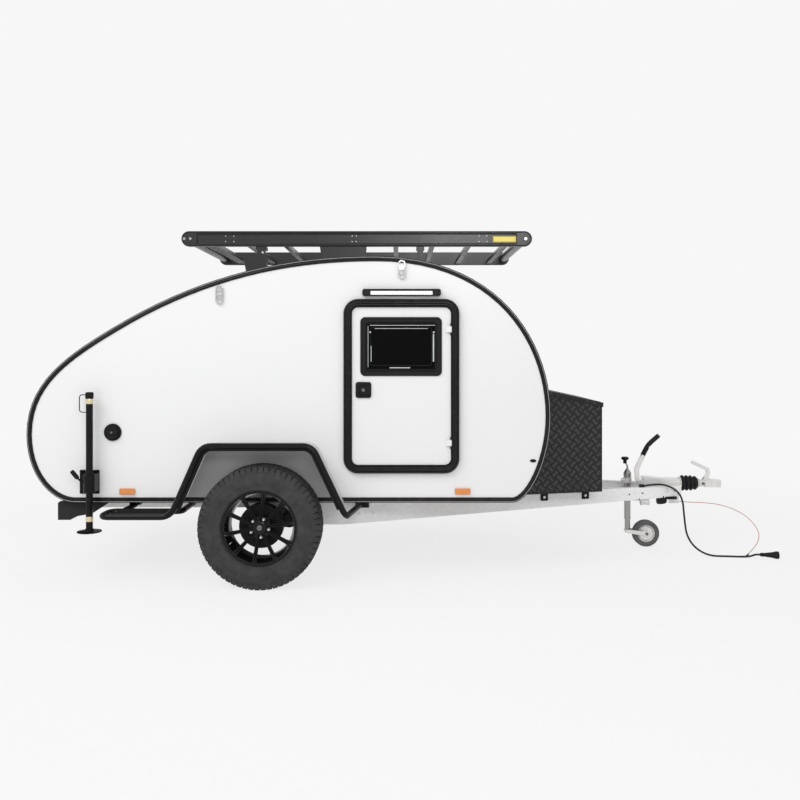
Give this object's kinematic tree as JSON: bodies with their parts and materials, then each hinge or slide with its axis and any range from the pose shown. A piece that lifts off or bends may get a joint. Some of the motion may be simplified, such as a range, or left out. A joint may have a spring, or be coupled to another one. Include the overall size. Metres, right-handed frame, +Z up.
{
  "type": "teardrop trailer",
  "caption": "Teardrop camping trailer with hollow cabin, side doors, rear galley hatch, roof rack, front box, prop stands and an A-frame drawbar on a jockey wheel.",
  "frame": {"origin": "on the ground, under the middle of the trailer's length and width, without the free cables", "axes": "+X forward to the coupling, +Y to the left side, +Z up"},
  "size_m": [4.5264, 2.034, 2.033],
  "materials": {
    "skin_white": "smooth white sandwich-panel skin",
    "trim_black": "satin black edge profile and frames",
    "floor_board": "coated floor board",
    "galley_wood": "pale birch plywood",
    "window_glass": "dark tinted acrylic",
    "lock_black": "black moulded lock",
    "light_housing": "black housing with a pale light strip",
    "galvanised": "hot-dip galvanised steel",
    "axle_steel": "dark coated axle steel",
    "fender_sheet": "light sheet, dark underneath",
    "tube_black": "black powder coat",
    "checker_black": "black coated checker plate",
    "rack_black": "black powder-coated aluminium",
    "bellows_rubber": "black rubber",
    "cast_silver": "zinc-plated casting",
    "bumper_plastic": "black moulded plastic",
    "lamp_red": "clear red lens",
    "lamp_amber": "amber lens",
    "chrome": "polished steel",
    "cable_black": "black cable sheath",
    "cable_red": "red-orange coated wire rope",
    "tyre_rubber": "black tread and sidewall",
    "rim_black": "gloss black alloy",
    "drum_black": "coated cast drum",
    "jockey_tyre": "grey solid rubber"
  },
  "bodies": {
    "trailer": {"side_wall_right": "skin_white", "side_wall_left": "skin_white", "edge_trims": "trim_black", "roof_shell": "skin_white", "cabin_floor": "floor_board", "galley_bulkhead": "galley_wood", "galley_cabinet": "galley_wood", "door_frames": "trim_black", "awning_lights": "light_housing", "drawbar_right": "galvanised", "drawbar_left": "galvanised", "rear_frame": "galvanised", "axle_beam": "axle_steel", "trailing_arms": "axle_steel", "fenders": "fender_sheet", "fender_tubes": "tube_black", "front_box": "checker_black", "box_feet": "tube_black", "rack_frame": "rack_black", "rack_slats": "rack_black", "rack_feet": "rack_black", "stand_clamps": "tube_black", "jockey_clamp": "cast_silver", "overrun_housing": "cast_silver", "bellows_and_gland": "bellows_rubber", "coupling_head": "cast_silver", "rear_bumper": "bumper_plastic", "tail_lamps": "lamp_red", "marker_lamps": "lamp_amber", "tie_loops": "chrome", "filler_cap": "lock_black", "brake_rod": "galvanised", "power_cable": "cable_black", "power_plug": "cable_black", "breakaway_cable": "cable_red", "breakaway_clip": "chrome"},
    "hatch": {"rear_hatch": "skin_white"},
    "right_door": {"door_right": "skin_white", "window_frame_right": "trim_black", "window_glass_right": "window_glass", "door_lock_right": "lock_black"},
    "left_door": {"door_left": "skin_white", "window_frame_left": "trim_black", "window_glass_left": "window_glass", "door_lock_left": "lock_black"},
    "lid": {"box_lid": "checker_black"},
    "right_wheel": {"tyre_right": "tyre_rubber", "rim_right": "rim_black", "brake_drum_right": "drum_black"},
    "left_wheel": {"tyre_left": "tyre_rubber", "rim_left": "rim_black", "brake_drum_left": "drum_black"},
    "right_stand": {"stand_leg_right": "tube_black"},
    "left_stand": {"stand_leg_left": "tube_black"},
    "jockey_sleeve": {"jockey_tube": "cast_silver"},
    "jockey_slide": {"jockey_leg": "cast_silver"},
    "jockey_swivel": {"jockey_fork": "cast_silver"},
    "jockey_roller": {"jockey_wheel": "jockey_tyre"},
    "catch": {"coupling_handle": "cast_silver"},
    "brake_lever": {"handbrake_lever": "cast_silver"}
  },
  "joints": [
    {"name": "hatch_hinge", "type": "hinge", "parent": "trailer", "child": "hatch", "pos_m": [-1.33366, 0, 1.6132], "axis": [0, 1, 0], "range_deg": [0, 80]},
    {"name": "door_right_hinge", "type": "hinge", "parent": "trailer", "child": "right_door", "pos_m": [0.2935, -0.809, 1.1135], "axis": [0, 0, 1], "range_deg": [0, 110]},
    {"name": "door_left_hinge", "type": "hinge", "parent": "trailer", "child": "left_door", "pos_m": [0.2935, 0.809, 1.1135], "axis": [0, 0, -1], "range_deg": [0, 110]},
    {"name": "box_lid_hinge", "type": "hinge", "parent": "trailer", "child": "lid", "pos_m": [0.8646, 0, 1.076], "axis": [0, -1, 0], "range_deg": [0, 80]},
    {"name": "wheel_right_spin", "type": "hinge", "parent": "trailer", "child": "right_wheel", "pos_m": [-0.773, -0.9045, 0.34], "axis": [0, 1, 0], "continuous": true},
    {"name": "wheel_left_spin", "type": "hinge", "parent": "trailer", "child": "left_wheel", "pos_m": [-0.773, 0.9045, 0.34], "axis": [0, 1, 0], "continuous": true},
    {"name": "stand_right_slide", "type": "slide", "parent": "trailer", "child": "right_stand", "axis": [0, 0, -1], "range_m": [0, 0.3]},
    {"name": "stand_left_slide", "type": "slide", "parent": "trailer", "child": "left_stand", "axis": [0, 0, -1], "range_m": [0, 0.3]},
    {"name": "jockey_clamp_slide", "type": "slide", "parent": "trailer", "child": "jockey_sleeve", "axis": [0, 0, 1], "range_m": [0, 0.1]},
    {"name": "jockey_crank_slide", "type": "slide", "parent": "jockey_sleeve", "child": "jockey_slide", "axis": [0, 0, 1], "range_m": [0, 0.06]},
    {"name": "jockey_castor", "type": "hinge", "parent": "jockey_slide", "child": "jockey_swivel", "pos_m": [1.533, 0.08, 0.1], "axis": [0, 0, 1], "continuous": true},
    {"name": "jockey_wheel_spin", "type": "hinge", "parent": "jockey_swivel", "child": "jockey_roller", "pos_m": [1.655, 0.08, 0.088], "axis": [0, 1, 0], "continuous": true},
    {"name": "coupling_catch", "type": "hinge", "parent": "trailer", "child": "catch", "pos_m": [2.035, 0, 0.476], "axis": [0, 1, 0], "range_deg": [0, 40]},
    {"name": "handbrake", "type": "hinge", "parent": "trailer", "child": "brake_lever", "pos_m": [1.587, -0.056, 0.418], "axis": [0, 1, 0], "range_deg": [0, 45]}
  ]
}
